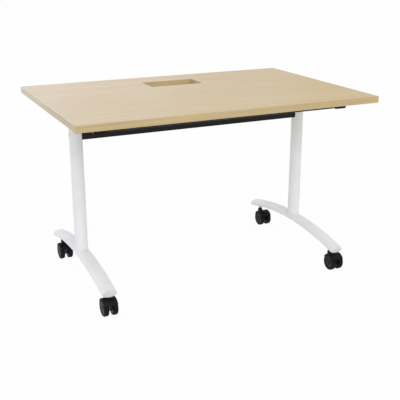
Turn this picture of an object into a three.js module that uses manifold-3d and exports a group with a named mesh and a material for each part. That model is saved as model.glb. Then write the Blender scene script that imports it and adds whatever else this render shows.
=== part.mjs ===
// A flip top training table: a wooden top on two column legs with castors, which flips upright for nesting.
// Millimetres, +Z up. The origin is on the floor under the middle of the top, and -Y is the user's side.
import * as THREE from "three";
import { mergeVertices } from "three/addons/utils/BufferGeometryUtils.js";
import Module from "manifold-3d";

// Table top
const TOP_LENGTH = 1200;
const TOP_DEPTH = 800;
const TOP_HEIGHT = 730;
const TOP_THICKNESS = 25;
const TOP_CORNER_RADIUS = 3;
const BAND_THICKNESS = 2;
const CUTOUT_LENGTH = 230;
const CUTOUT_DEPTH = 116;
const CUTOUT_REAR_MARGIN = 125;

// Legs
const LEG_SPACING = 980;
const COLUMN_DIAMETER = 50;
const COLUMN_WALL = 2;
const FOOT_LENGTH = 670;
const FOOT_WIDTH = 57;
const FOOT_DEPTH = 30;
const FOOT_WALL = 2.5;
const FOOT_ARC_RADIUS = 1450;
const FOOT_CAP_PLATE = 4;
const FOOT_CAP_EDGE_SHARE = 0.25;
const STEM_INSET = 40;
const SOCKET_REACH = 33;

// Beam between the columns, and what fastens it
const BEAM_HEIGHT = 40;
const BEAM_DEPTH = 30;
const BEAM_WALL = 2;
const BEAM_CORNER_RADIUS = 3;
const BEAM_DROP = 44;
const BEAM_PLATE_THICKNESS = 10;
const BEAM_PLATE_INSET = 14;
const SCREW_DIAMETER = 8;
const SCREW_HEAD_DIAMETER = 14;
const SCREW_HEAD_HEIGHT = 8;
const SCREW_HEAD_RECESS = 2;

// Arms under the top
const ARM_END_INSET = 93;
const ARM_WIDTH = 46;
const ARM_DEPTH = 30;
const ARM_WALL = 3;
const ARM_CAP_PLATE = 3;
const ARM_CAP_PLUG = 4;
const EAR_HALF_LENGTH = 15;

// Pivot of the top
const HUB_RADIUS = 14;
const PIN_DIAMETER = 12;
const PIN_HEAD_DIAMETER = 20;
const PIN_HEAD_HEIGHT = 4;
const NUT_FLATS = 19;
const NUT_HEIGHT = 8;
const NUT_THREAD_STANDOUT = 2;
const BUSH_WALL = 2;
const TONGUE_WIDTH = 36;
const HEAD_FLANGE = 3;
const HEAD_PLUG_LENGTH = 44;

// Latch and its release
const FAN_THICKNESS = 12;
const FAN_HALF_ANGLE = THREE.MathUtils.degToRad(68);
const FLIP_ANGLE = THREE.MathUtils.degToRad(90);
const ROD_DROP = 23;
const ROD_DIAMETER = 5;
const LATCH_STROKE = 14.5;
const BLADE_WIDTH = 16;
const BLADE_HEIGHT = 8;
const BLADE_LAND = 35;
const BOLT_HEAD_WIDTH = 24;
const BOLT_HEAD_HEIGHT = 14;
const BOLT_HEAD_LENGTH = 8;
const ROD_SEAT_DEPTH = 10;
const GUIDE_TO_FAN = 7;
const GUIDE_SEAT_WALL = 10;
const GUIDE_ROOF = 4;
const SPRING_LENGTH = 32;
const SPRING_MEAN_DIAMETER = 12;
const SPRING_WIRE = 1.6;
const SPRING_TURNS = 6;
const BAR_DIAMETER = 12;
const BAR_TO_CAP = 2;
const BAR_END_REACH = 8;
const EYE_DIAMETER = 18;
const EYE_WIDTH = 10;

// Castors
const WHEEL_DIAMETER = 67;
const WHEEL_WIDTH = 19;
const WHEEL_GAP = 16;
const WHEEL_EDGE = 3;
const WHEEL_DISH = 1.6;
const WHEEL_RIM = 5;
const HUBCAP_RADIUS = 9;
const AXLE_DIAMETER = 8;
const AXLE_END_WALL = 2.5;
const CASTOR_TRAIL = 28;
const WEB_SIDE_GAP = 0.7;
const WEB_HUB_RADIUS = 15;
const HOOD_GAP = 0.8;
const HOOD_WALL = 1.7;
const HOOD_FRONT_ANGLE = THREE.MathUtils.degToRad(25);
const HOOD_REAR_ANGLE = THREE.MathUtils.degToRad(150);
const NECK_DIAMETER = 17;
const NECK_RISE = 6;
const NECK_FLOOR = 6;
const STEM_DIAMETER = 11;
const STEM_DEPTH = 30;
const STEM_EXPOSED = 8.5;
const STEM_COLLAR_DIAMETER = 16;
const STEM_COLLAR_HEIGHT = 3;
const STEM_SOCKET_DEPTH = 18;

// Clearances
const FIT_GAP = 0.3;
const RUNNING_GAP = 0.4;
const PLUG_GAP = 0.7;
const FAN_GAP = 2;
const LATCH_GAP = 0.8;
const FLIP_CLEARANCE = 3;
const HUB_CLEARANCE = 2;
const CUT_OVERRUN = 1;

// Facets of round pieces
const ROUND_SIDES = 28;
const WHEEL_SIDES = 24;
const SMALL_SIDES = 16;
const FOOT_SIDES = 20;
const FOOT_STEPS = 12;
const FOOT_PLUG_STEPS = 3;
const ARC_STEPS = 10;
const CORNER_STEPS = 4;
const WIRE_SIDES = 5;
const TURN_STEPS = 8;

// Places worked out from the sizes above
const LEG_X = LEG_SPACING / 2;
const UNDERSIDE_Z = TOP_HEIGHT - TOP_THICKNESS;
const ARM_LENGTH = TOP_DEPTH - 2 * ARM_END_INSET;
const ARM_LIP_Z = UNDERSIDE_Z - ARM_DEPTH;
const ARM_INNER_HALF = ARM_WIDTH / 2 - ARM_WALL;
const ARM_WEB_Z = UNDERSIDE_Z - ARM_WALL;
const COLUMN_RADIUS = COLUMN_DIAMETER / 2;
const COLUMN_BORE = COLUMN_RADIUS - COLUMN_WALL;
const PIVOT_DROP = ARM_DEPTH + COLUMN_RADIUS + FLIP_CLEARANCE;
const PIVOT_Z = UNDERSIDE_Z - PIVOT_DROP;
const COLUMN_TOP_Z = PIVOT_Z - HUB_RADIUS - HUB_CLEARANCE - HEAD_FLANGE;
const BEAM_BOTTOM_Z = COLUMN_TOP_Z - BEAM_DROP;
const BEAM_MIDDLE_Z = BEAM_BOTTOM_Z + BEAM_HEIGHT / 2;
const PIN_RADIUS = PIN_DIAMETER / 2;
const BUSH_RADIUS = PIN_RADIUS + FIT_GAP + BUSH_WALL;
const FAN_RADIUS = PIVOT_DROP - ARM_WALL - FAN_GAP;
const ROD_Z = UNDERSIDE_Z - ROD_DROP;
const ROD_RISE = ROD_Z - PIVOT_Z;
const BLADE_TIP_Y = -Math.sqrt((FAN_RADIUS + LATCH_GAP) ** 2 - (ROD_RISE - BLADE_HEIGHT / 2) ** 2);
const GUIDE_REAR_Y = -(FAN_RADIUS + GUIDE_TO_FAN);
const GUIDE_CAVITY_REAR_Y = GUIDE_REAR_Y - BLADE_LAND;
const BOLT_HEAD_REAR_Y = GUIDE_CAVITY_REAR_Y - LATCH_STROKE - RUNNING_GAP;
const BOLT_HEAD_FRONT_Y = BOLT_HEAD_REAR_Y - BOLT_HEAD_LENGTH;
const GUIDE_CAVITY_FRONT_Y = BOLT_HEAD_FRONT_Y - SPRING_LENGTH;
const GUIDE_FRONT_Y = GUIDE_CAVITY_FRONT_Y - GUIDE_SEAT_WALL;
const BAR_Y = ARM_CAP_PLUG + BAR_TO_CAP + EYE_DIAMETER / 2 - ARM_LENGTH / 2;
const WHEEL_RADIUS = WHEEL_DIAMETER / 2;
const WHEEL_MID_X = (WHEEL_GAP + WHEEL_WIDTH) / 2;
const AXLE_Z = WHEEL_RADIUS * Math.cos(Math.PI / WHEEL_SIDES);
const AXLE_RADIUS = AXLE_DIAMETER / 2;
const HOOD_INNER = WHEEL_RADIUS + HOOD_GAP;
const HOOD_OUTER = HOOD_INNER + HOOD_WALL;
const NECK_RADIUS = NECK_DIAMETER / 2;
const WEB_TOP_Z = AXLE_Z + HOOD_OUTER;
const NECK_TOP_Z = WEB_TOP_Z + NECK_RISE;
const STEM_RADIUS = STEM_DIAMETER / 2;
const STEM_BASE_Z = NECK_TOP_Z - STEM_DEPTH;
const STEM_Y = FOOT_LENGTH / 2 - STEM_INSET;
const FOOT_UNDERSIDE_Z = NECK_TOP_Z + STEM_EXPOSED;
const FOOT_ARC_Z = FOOT_UNDERSIDE_Z - Math.sqrt((FOOT_ARC_RADIUS - FOOT_DEPTH / 2) ** 2 - STEM_Y ** 2);
const FOOT_END_ANGLE = Math.asin(FOOT_LENGTH / 2 / FOOT_ARC_RADIUS);
const FOOT_PLUG_ANGLE = FOOT_END_ANGLE - (STEM_INSET + SOCKET_REACH) / FOOT_ARC_RADIUS;
const FOOT_CROWN_Z = FOOT_ARC_Z + FOOT_ARC_RADIUS;
const STEM_TOP_Z = FOOT_UNDERSIDE_Z + FOOT_WALL + STEM_SOCKET_DEPTH;

// Materials
function paint(color, roughness, metalness) {
  return new THREE.MeshStandardMaterial({ color, roughness, metalness });
}

const BOARD = paint(0xdcc7a4, 0.45, 0);
const EDGE = paint(0xcbb07c, 0.4, 0);
const WHITE_PAINT = paint(0xe8e9eb, 0.35, 0);
const WHITE_PLASTIC = paint(0xe4e5e7, 0.45, 0);
const BLACK_PAINT = paint(0x212226, 0.5, 0);
const BLACK_PLASTIC = paint(0x1a1a1c, 0.55, 0);
const ZINC = paint(0xb6b9bd, 0.35, 0.9);
const SPRING_STEEL = paint(0x8d9095, 0.3, 1);
const CAST_ALUMINIUM = paint(0xa9acb0, 0.5, 0.9);
const ACETAL = paint(0xd9d8d2, 0.5, 0);

const wasm = await Module();
wasm.setup();

// A closed three.js geometry as a solid that can be joined and cut.
function solidOf(geometry) {
  const bare = geometry.clone();
  bare.deleteAttribute("normal");
  bare.deleteAttribute("uv");
  const merged = mergeVertices(bare, 1e-4);
  const corners = merged.index.array;
  const kept = [];
  for (let i = 0; i < corners.length; i += 3) {
    const [a, b, c] = corners.subarray(i, i + 3);
    if (a !== b && b !== c && c !== a) kept.push(a, b, c);
  }
  const vertProperties = merged.attributes.position.array;
  return new wasm.Manifold(new wasm.Mesh({ numProp: 3, vertProperties, triVerts: new Uint32Array(kept) }));
}

// A solid as a three.js geometry.
function geometryOf(solid) {
  const { vertProperties, triVerts } = solid.getMesh();
  const geometry = new THREE.BufferGeometry();
  geometry.setAttribute("position", new THREE.BufferAttribute(vertProperties, 3));
  geometry.setIndex(new THREE.BufferAttribute(triVerts, 1));
  geometry.computeVertexNormals();
  return geometry;
}

const join = (...pieces) => geometryOf(pieces.map(solidOf).reduce((whole, piece) => whole.add(piece)));

function cut(body, ...tools) {
  return geometryOf(tools.map(solidOf).reduce((rest, tool) => rest.subtract(tool), solidOf(body)));
}

function named(name, geometry, material) {
  const mesh = new THREE.Mesh(geometry, material);
  mesh.name = name;
  return mesh;
}

function block([x0, x1], [y0, y1], [z0, z1]) {
  const box = new THREE.BoxGeometry(x1 - x0, y1 - y0, z1 - z0);
  return box.translate((x0 + x1) / 2, (y0 + y1) / 2, (z0 + z1) / 2);
}

// A body of revolution about Z, from [radius, z] pairs that run counter-clockwise round its half section.
function turned(profile, sides, start = 0) {
  const points = profile.map(([radius, z]) => new THREE.Vector2(radius, z));
  return new THREE.LatheGeometry(points, sides, start).rotateX(Math.PI / 2);
}

const rod = (radius, z0, z1, sides) => turned([[0, z0], [radius, z0], [radius, z1], [0, z1]], sides);

function tube(outer, inner, z0, z1, sides) {
  return turned([[inner, z0], [outer, z0], [outer, z1], [inner, z1], [inner, z0]], sides);
}

// Turns a piece made along Z to lie along X or along Y.
const alongX = (geometry) => geometry.rotateY(Math.PI / 2);
const alongY = (geometry) => geometry.rotateX(-Math.PI / 2);

// A side view, drawn as (y, z), extruded along X about the middle.
function sideExtrusion(shape, width, steps = ARC_STEPS) {
  const options = { depth: width, bevelEnabled: false, curveSegments: steps / 2 };
  const axes = [new THREE.Vector3(0, 1, 0), new THREE.Vector3(0, 0, 1), new THREE.Vector3(1, 0, 0)];
  const turn = new THREE.Matrix4().makeBasis(...axes);
  return new THREE.ExtrudeGeometry(shape, options).applyMatrix4(turn).translate(-width / 2, 0, 0);
}

function rectangle(path, halfX, halfY, middleY = 0) {
  path.moveTo(-halfX, middleY - halfY);
  path.lineTo(halfX, middleY - halfY);
  path.lineTo(halfX, middleY + halfY);
  path.lineTo(-halfX, middleY + halfY);
  path.closePath();
  return path;
}

function roundedRectangle(path, halfX, halfY, radius) {
  path.absarc(halfX - radius, radius - halfY, radius, -Math.PI / 2, 0);
  path.absarc(halfX - radius, halfY - radius, radius, 0, Math.PI / 2);
  path.absarc(radius - halfX, halfY - radius, radius, Math.PI / 2, Math.PI);
  path.absarc(radius - halfX, radius - halfY, radius, Math.PI, 1.5 * Math.PI);
  path.closePath();
  return path;
}

// Table top
const BOARD_HALF_X = TOP_LENGTH / 2 - BAND_THICKNESS;
const BOARD_HALF_Y = TOP_DEPTH / 2 - BAND_THICKNESS;
const CUTOUT_Y = TOP_DEPTH / 2 - CUTOUT_REAR_MARGIN - CUTOUT_DEPTH / 2;
const SAWN_HALF_X = CUTOUT_LENGTH / 2 + BAND_THICKNESS;
const SAWN_HALF_Y = CUTOUT_DEPTH / 2 + BAND_THICKNESS;

function layer(outline, hole) {
  outline.holes.push(hole);
  const options = { depth: TOP_THICKNESS, bevelEnabled: false, curveSegments: CORNER_STEPS / 2 };
  return new THREE.ExtrudeGeometry(outline, options).translate(0, 0, UNDERSIDE_Z);
}

function tabletop() {
  const outline = rectangle(new THREE.Shape(), BOARD_HALF_X, BOARD_HALF_Y);
  return layer(outline, rectangle(new THREE.Path(), SAWN_HALF_X, SAWN_HALF_Y, CUTOUT_Y));
}

function edgeBand() {
  const outline = roundedRectangle(new THREE.Shape(), TOP_LENGTH / 2, TOP_DEPTH / 2, TOP_CORNER_RADIUS);
  return layer(outline, rectangle(new THREE.Path(), BOARD_HALF_X, BOARD_HALF_Y));
}

function cutoutBand() {
  const outline = rectangle(new THREE.Shape(), SAWN_HALF_X, SAWN_HALF_Y, CUTOUT_Y);
  return layer(outline, rectangle(new THREE.Path(), CUTOUT_LENGTH / 2, CUTOUT_DEPTH / 2, CUTOUT_Y));
}

// Arms: channels open downwards, with ears for the pivot and a notch for the release bar in the inner side
function armOutline() {
  const half = ARM_LENGTH / 2;
  const outline = new THREE.Shape();
  outline.moveTo(-half, UNDERSIDE_Z);
  outline.lineTo(-half, ARM_LIP_Z);
  outline.lineTo(-EAR_HALF_LENGTH, ARM_LIP_Z);
  outline.absarc(0, PIVOT_Z, HUB_RADIUS, Math.PI, 2 * Math.PI);
  outline.lineTo(EAR_HALF_LENGTH, ARM_LIP_Z);
  outline.lineTo(half, ARM_LIP_Z);
  outline.lineTo(half, UNDERSIDE_Z);
  outline.closePath();
  return outline;
}

function barSlot() {
  const radius = BAR_DIAMETER / 2 + RUNNING_GAP;
  const low = ARM_LIP_Z - CUT_OVERRUN;
  const outline = new THREE.Shape();
  outline.absarc(BAR_Y + LATCH_STROKE, ROD_Z, radius, 0, Math.PI / 2);
  outline.absarc(BAR_Y, ROD_Z, radius, Math.PI / 2, Math.PI);
  outline.lineTo(BAR_Y - radius, low);
  outline.lineTo(BAR_Y + LATCH_STROKE + radius, low);
  outline.closePath();
  return sideExtrusion(outline, ARM_WALL + 2 * CUT_OVERRUN);
}

function arm(outward) {
  const overrun = ARM_LENGTH / 2 + CUT_OVERRUN;
  const inside = block(
    [-ARM_INNER_HALF, ARM_INNER_HALF],
    [-overrun, overrun],
    [PIVOT_Z - HUB_RADIUS - CUT_OVERRUN, ARM_WEB_Z],
  );
  const pinHole = alongX(rod(PIN_RADIUS + FIT_GAP, -ARM_WIDTH, ARM_WIDTH, SMALL_SIDES));
  const slot = barSlot().translate(-outward * (ARM_WIDTH - ARM_WALL) / 2, 0, 0);
  return cut(sideExtrusion(armOutline(), ARM_WIDTH), inside, pinHole.translate(0, 0, PIVOT_Z), slot);
}

function armCap() {
  const half = ARM_LENGTH / 2;
  const plugHalf = ARM_INNER_HALF - FIT_GAP;
  const plate = block(
    [-ARM_WIDTH / 2, ARM_WIDTH / 2],
    [half, half + ARM_CAP_PLATE],
    [ARM_LIP_Z, UNDERSIDE_Z],
  );
  const plug = block(
    [-plugHalf, plugHalf],
    [half - ARM_CAP_PLUG, half + ARM_CAP_PLATE / 2],
    [ARM_LIP_Z + ARM_WALL, ARM_WEB_Z - FIT_GAP],
  );
  return join(plate, plug);
}

// Pivot pin with its head outside the arm and its nut inside
function pivotPin() {
  const side = ARM_WIDTH / 2;
  const profile = [
    [0, -side - NUT_HEIGHT - NUT_THREAD_STANDOUT],
    [PIN_RADIUS, -side - NUT_HEIGHT - NUT_THREAD_STANDOUT],
    [PIN_RADIUS, side],
    [PIN_HEAD_DIAMETER / 2, side],
    [PIN_HEAD_DIAMETER / 2, side + PIN_HEAD_HEIGHT],
    [0, side + PIN_HEAD_HEIGHT],
  ];
  return alongX(turned(profile, SMALL_SIDES)).translate(0, 0, PIVOT_Z);
}

function pivotNut() {
  const corner = NUT_FLATS / 2 / Math.cos(Math.PI / 6);
  const hexagon = rod(corner, -ARM_WIDTH / 2 - NUT_HEIGHT, -ARM_WIDTH / 2, 6);
  const thread = rod(PIN_RADIUS + FIT_GAP, -ARM_WIDTH, ARM_WIDTH, SMALL_SIDES);
  return alongX(cut(hexagon, thread)).translate(0, 0, PIVOT_Z);
}

function pivotBush() {
  const half = ARM_INNER_HALF - FIT_GAP;
  const sleeve = tube(BUSH_RADIUS, PIN_RADIUS + FIT_GAP, -half, half, SMALL_SIDES);
  return alongX(sleeve).translate(0, 0, PIVOT_Z);
}

// Head: plug in the column, tongue round the pivot, and a fan with a latch notch for each end of the flip
function tongue() {
  const base = COLUMN_TOP_Z + HEAD_FLANGE / 2;
  const outline = new THREE.Shape();
  outline.moveTo(-HUB_RADIUS, base);
  outline.lineTo(HUB_RADIUS, base);
  outline.absarc(0, PIVOT_Z, HUB_RADIUS, 0, Math.PI);
  outline.closePath();
  return sideExtrusion(outline, TONGUE_WIDTH);
}

function fan() {
  const outline = new THREE.Shape();
  outline.absarc(0, 0, FAN_RADIUS, Math.PI / 2 - FAN_HALF_ANGLE, Math.PI / 2 + FAN_HALF_ANGLE);
  outline.lineTo(0, 0);
  outline.closePath();
  return sideExtrusion(outline, FAN_THICKNESS).translate(0, 0, PIVOT_Z);
}

function latchNotch(flip) {
  const half = BLADE_HEIGHT / 2 + RUNNING_GAP;
  const bottom = BLADE_TIP_Y + LATCH_STROKE + RUNNING_GAP;
  const notch = block(
    [-FAN_THICKNESS, FAN_THICKNESS],
    [-FAN_RADIUS, bottom],
    [ROD_RISE - half, ROD_RISE + half],
  );
  return notch.rotateX(-flip).translate(0, 0, PIVOT_Z);
}

function pivotHead(outward) {
  const plugRadius = COLUMN_BORE - FIT_GAP;
  const plugBase = COLUMN_TOP_Z - HEAD_PLUG_LENGTH;
  const plug = rod(plugRadius, plugBase, COLUMN_TOP_Z + HEAD_FLANGE / 2, ROUND_SIDES);
  const flange = rod(COLUMN_RADIUS, COLUMN_TOP_Z, COLUMN_TOP_Z + HEAD_FLANGE, ROUND_SIDES);
  const bore = alongX(rod(BUSH_RADIUS + FIT_GAP, -ARM_WIDTH, ARM_WIDTH, SMALL_SIDES));
  return cut(
    join(plug, flange, tongue(), fan()),
    bore.translate(0, 0, PIVOT_Z),
    latchNotch(0),
    latchNotch(FLIP_ANGLE),
    screwHole(outward),
  );
}

// Screw across the head of the column into the plate in the end of the beam
const SCREW_HEAD_OUTER_X = COLUMN_RADIUS - SCREW_HEAD_RECESS;
const SCREW_HEAD_SEAT_X = SCREW_HEAD_OUTER_X - SCREW_HEAD_HEIGHT;
const BEAM_PLATE_OUTER_X = COLUMN_RADIUS + BEAM_PLATE_INSET;
const SCREW_TIP_X = BEAM_PLATE_OUTER_X + BEAM_PLATE_THICKNESS;

function screwForm(clearance) {
  const head = SCREW_HEAD_DIAMETER / 2 + clearance;
  const shank = SCREW_DIAMETER / 2 + clearance;
  const outerEnd = clearance ? COLUMN_RADIUS + CUT_OVERRUN : SCREW_HEAD_OUTER_X;
  const seat = SCREW_HEAD_SEAT_X - clearance;
  const profile = [
    [0, -SCREW_TIP_X],
    [shank, -SCREW_TIP_X],
    [shank, seat],
    [head, seat],
    [head, outerEnd],
    [0, outerEnd],
  ];
  return alongX(turned(profile, SMALL_SIDES)).translate(0, 0, BEAM_MIDDLE_Z);
}

const facing = (geometry, outward) => geometry.rotateZ(outward > 0 ? 0 : Math.PI);
const beamScrew = (outward) => facing(screwForm(0), outward);
const screwHole = (outward) => facing(screwForm(FIT_GAP), outward);

function beamPlate(outward) {
  const halfY = BEAM_DEPTH / 2 - BEAM_WALL - FIT_GAP;
  const halfZ = BEAM_HEIGHT / 2 - BEAM_WALL - FIT_GAP;
  const plate = block(
    [-SCREW_TIP_X, -BEAM_PLATE_OUTER_X],
    [-halfY, halfY],
    [BEAM_MIDDLE_Z - halfZ, BEAM_MIDDLE_Z + halfZ],
  );
  const thread = alongX(rod(SCREW_DIAMETER / 2 + FIT_GAP, -2 * SCREW_TIP_X, 0, SMALL_SIDES));
  return facing(cut(plate, thread.translate(0, 0, BEAM_MIDDLE_Z)), outward);
}

// Beam: a rectangular tube whose ends are shaped to the columns
function beam() {
  const outline = roundedRectangle(new THREE.Shape(), BEAM_DEPTH / 2, BEAM_HEIGHT / 2, BEAM_CORNER_RADIUS);
  const innerRadius = BEAM_CORNER_RADIUS - BEAM_WALL;
  const innerHalf = [BEAM_DEPTH / 2 - BEAM_WALL, BEAM_HEIGHT / 2 - BEAM_WALL];
  outline.holes.push(roundedRectangle(new THREE.Path(), ...innerHalf, innerRadius));
  const bar = sideExtrusion(outline, LEG_SPACING, CORNER_STEPS).translate(0, 0, BEAM_MIDDLE_Z);
  const columns = [-LEG_X, LEG_X].map((x) =>
    rod(COLUMN_RADIUS + FIT_GAP, 0, TOP_HEIGHT, ROUND_SIDES).translate(x, 0, 0),
  );
  return cut(bar, ...columns);
}

// Latch: a spring bolt in a guide that is fixed in the arm, drawn by a rod from the release bar
function latchBolt() {
  const blade = block(
    [-BLADE_WIDTH / 2, BLADE_WIDTH / 2],
    [BOLT_HEAD_REAR_Y - BOLT_HEAD_LENGTH / 2, BLADE_TIP_Y],
    [ROD_Z - BLADE_HEIGHT / 2, ROD_Z + BLADE_HEIGHT / 2],
  );
  const head = block(
    [-BOLT_HEAD_WIDTH / 2, BOLT_HEAD_WIDTH / 2],
    [BOLT_HEAD_FRONT_Y, BOLT_HEAD_REAR_Y],
    [ROD_Z - BOLT_HEAD_HEIGHT / 2, ROD_Z + BOLT_HEAD_HEIGHT / 2],
  );
  const seat = rodHole(BOLT_HEAD_FRONT_Y - CUT_OVERRUN, BOLT_HEAD_FRONT_Y + ROD_SEAT_DEPTH + FIT_GAP);
  return cut(join(blade, head), seat);
}

function rodHole(y0, y1) {
  return alongY(rod(ROD_DIAMETER / 2 + FIT_GAP, y0, y1, SMALL_SIDES)).translate(0, 0, ROD_Z);
}

function latchGuide() {
  const body = block(
    [-ARM_INNER_HALF, ARM_INNER_HALF],
    [GUIDE_FRONT_Y, GUIDE_REAR_Y],
    [ARM_LIP_Z, ARM_WEB_Z],
  );
  const bladeHalfX = BLADE_WIDTH / 2 + FIT_GAP;
  const bladeHalfZ = BLADE_HEIGHT / 2 + FIT_GAP;
  const bladeWay = block(
    [-bladeHalfX, bladeHalfX],
    [GUIDE_CAVITY_REAR_Y - CUT_OVERRUN, GUIDE_REAR_Y + CUT_OVERRUN],
    [ROD_Z - bladeHalfZ, ROD_Z + bladeHalfZ],
  );
  const cavityHalf = BOLT_HEAD_WIDTH / 2 + CUT_OVERRUN;
  const cavity = block(
    [-cavityHalf, cavityHalf],
    [GUIDE_CAVITY_FRONT_Y, GUIDE_CAVITY_REAR_Y],
    [ARM_LIP_Z - CUT_OVERRUN, ARM_WEB_Z - GUIDE_ROOF],
  );
  const rodWay = rodHole(GUIDE_FRONT_Y - CUT_OVERRUN, GUIDE_CAVITY_FRONT_Y + CUT_OVERRUN);
  return cut(body, bladeWay, cavity, rodWay);
}

function pullRod() {
  const eye = alongX(
    tube(EYE_DIAMETER / 2, BAR_DIAMETER / 2 + FIT_GAP, -EYE_WIDTH / 2, EYE_WIDTH / 2, SMALL_SIDES),
  );
  const start = BAR_Y + (EYE_DIAMETER + BAR_DIAMETER) / 4;
  const shank = alongY(rod(ROD_DIAMETER / 2, start, BOLT_HEAD_FRONT_Y + ROD_SEAT_DEPTH, SMALL_SIDES));
  return join(eye.translate(0, BAR_Y, ROD_Z), shank.translate(0, 0, ROD_Z));
}

class Helix extends THREE.Curve {
  constructor(radius, length, turns) {
    super();
    Object.assign(this, { radius, length, turns });
  }

  getPoint(t, target = new THREE.Vector3()) {
    const angle = 2 * Math.PI * this.turns * t;
    return target.set(this.radius * Math.cos(angle), this.radius * Math.sin(angle), this.length * t);
  }
}

function latchSpring() {
  const corners = Array.from({ length: WIRE_SIDES }, (_, i) =>
    new THREE.Vector2(SPRING_WIRE / 2, 0).rotateAround(new THREE.Vector2(), (2 * Math.PI * i) / WIRE_SIDES),
  );
  const run = SPRING_LENGTH - SPRING_WIRE - 2 * FIT_GAP;
  const extrudePath = new Helix(SPRING_MEAN_DIAMETER / 2, run, SPRING_TURNS);
  const options = { steps: TURN_STEPS * SPRING_TURNS, extrudePath };
  const coil = new THREE.ExtrudeGeometry(new THREE.Shape(corners), options);
  console.log(`latch spring: least gap between turns ${(run / SPRING_TURNS - SPRING_WIRE).toFixed(2)} mm`);
  const middleY = (BOLT_HEAD_FRONT_Y + GUIDE_CAVITY_FRONT_Y) / 2;
  return alongY(coil.translate(0, 0, -run / 2)).translate(0, middleY, ROD_Z);
}

function releaseBar() {
  const reach = LEG_X + BAR_END_REACH;
  return alongX(rod(BAR_DIAMETER / 2, -reach, reach, SMALL_SIDES)).translate(0, BAR_Y, ROD_Z);
}

// Feet: oval tubes bent to an arc whose crown carries the column
class FootArc extends THREE.Curve {
  constructor(fromAngle, toAngle) {
    super();
    Object.assign(this, { fromAngle, toAngle });
  }

  getPoint(t, target = new THREE.Vector3()) {
    const angle = THREE.MathUtils.lerp(this.fromAngle, this.toAngle, t);
    const y = FOOT_ARC_RADIUS * Math.sin(angle);
    return target.set(0, y, FOOT_ARC_Z + FOOT_ARC_RADIUS * Math.cos(angle));
  }
}

function oval(path, inset) {
  return path.absellipse(0, 0, FOOT_WIDTH / 2 - inset, FOOT_DEPTH / 2 - inset, 0, 2 * Math.PI);
}

function footSweep(outline, fromAngle, toAngle, steps) {
  const extrudePath = new FootArc(fromAngle, toAngle);
  return new THREE.ExtrudeGeometry(outline, { steps, curveSegments: FOOT_SIDES / 2, extrudePath });
}

function footEnvelope() {
  return footSweep(oval(new THREE.Shape(), -FIT_GAP), -FOOT_END_ANGLE, FOOT_END_ANGLE, FOOT_STEPS);
}

function foot() {
  const outline = oval(new THREE.Shape(), 0);
  outline.holes.push(oval(new THREE.Path(), FOOT_WALL));
  const stemHoles = [-STEM_Y, STEM_Y].map((y) =>
    rod(STEM_RADIUS + 2 * FIT_GAP, 0, FOOT_UNDERSIDE_Z + FOOT_DEPTH / 2, SMALL_SIDES).translate(0, y, 0),
  );
  return cut(footSweep(outline, -FOOT_END_ANGLE, FOOT_END_ANGLE, FOOT_STEPS), ...stemHoles);
}

// End cap of a foot, for the rear end: a plate with a rounded edge, and a plug that holds the castor's stem
function footCap() {
  const arcs = Array.from({ length: CORNER_STEPS + 1 }, (_, i) => (i * Math.PI) / CORNER_STEPS / 2);
  const flat = 1 - FOOT_CAP_EDGE_SHARE;
  const edge = arcs.map((a) => [flat + FOOT_CAP_EDGE_SHARE * Math.cos(a), Math.sin(a)]);
  const plate = turned([[0, 0], ...edge, [0, 1]], FOOT_SIDES);
  const face = alongY(plate.scale(FOOT_WIDTH / 2, FOOT_DEPTH / 2, FOOT_CAP_PLATE)).translate(0, FIT_GAP, 0);
  const end = new FootArc(FOOT_END_ANGLE, FOOT_END_ANGLE).getPoint(0);
  face.rotateX(-FOOT_END_ANGLE).translate(end.x, end.y, end.z);
  const gapAngle = (FIT_GAP + FOOT_CAP_PLATE / 2) / FOOT_ARC_RADIUS;
  const section = oval(new THREE.Shape(), FOOT_WALL + PLUG_GAP);
  const plug = footSweep(section, FOOT_PLUG_ANGLE, FOOT_END_ANGLE + gapAngle, FOOT_PLUG_STEPS);
  const socket = rod(STEM_RADIUS + FIT_GAP, 0, STEM_TOP_Z + FIT_GAP, SMALL_SIDES).translate(0, STEM_Y, 0);
  return cut(join(face, plug), socket);
}

function column(outward) {
  const shell = tube(COLUMN_RADIUS, COLUMN_BORE, FOOT_CROWN_Z, COLUMN_TOP_Z, ROUND_SIDES);
  return cut(shell, footEnvelope(), screwHole(outward));
}

// Castor: a stem in the foot, a housing that swivels on it, and two wheels on one axle that trails the stem
function castorStem() {
  const collarBase = FOOT_UNDERSIDE_Z - STEM_COLLAR_HEIGHT;
  const collar = rod(STEM_COLLAR_DIAMETER / 2, collarBase, FOOT_UNDERSIDE_Z + FOOT_DEPTH / 2, SMALL_SIDES);
  const seat = cut(collar.translate(0, STEM_Y, 0), footEnvelope());
  return join(seat, rod(STEM_RADIUS, STEM_BASE_Z, STEM_TOP_Z, SMALL_SIDES).translate(0, STEM_Y, 0));
}

function housingWeb() {
  const archEnd = Math.acos((CASTOR_TRAIL - NECK_RADIUS) / HOOD_OUTER);
  const outline = new THREE.Shape();
  outline.absarc(-CASTOR_TRAIL, AXLE_Z, HOOD_OUTER, HOOD_REAR_ANGLE, archEnd, true);
  outline.lineTo(-NECK_RADIUS, WEB_TOP_Z);
  outline.lineTo(NECK_RADIUS, WEB_TOP_Z);
  outline.lineTo(NECK_RADIUS, STEM_BASE_Z - NECK_FLOOR);
  outline.absarc(-CASTOR_TRAIL, AXLE_Z, WEB_HUB_RADIUS, -Math.PI / 4, -0.75 * Math.PI, true);
  outline.closePath();
  return sideExtrusion(outline, WHEEL_GAP - 2 * WEB_SIDE_GAP);
}

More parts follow.
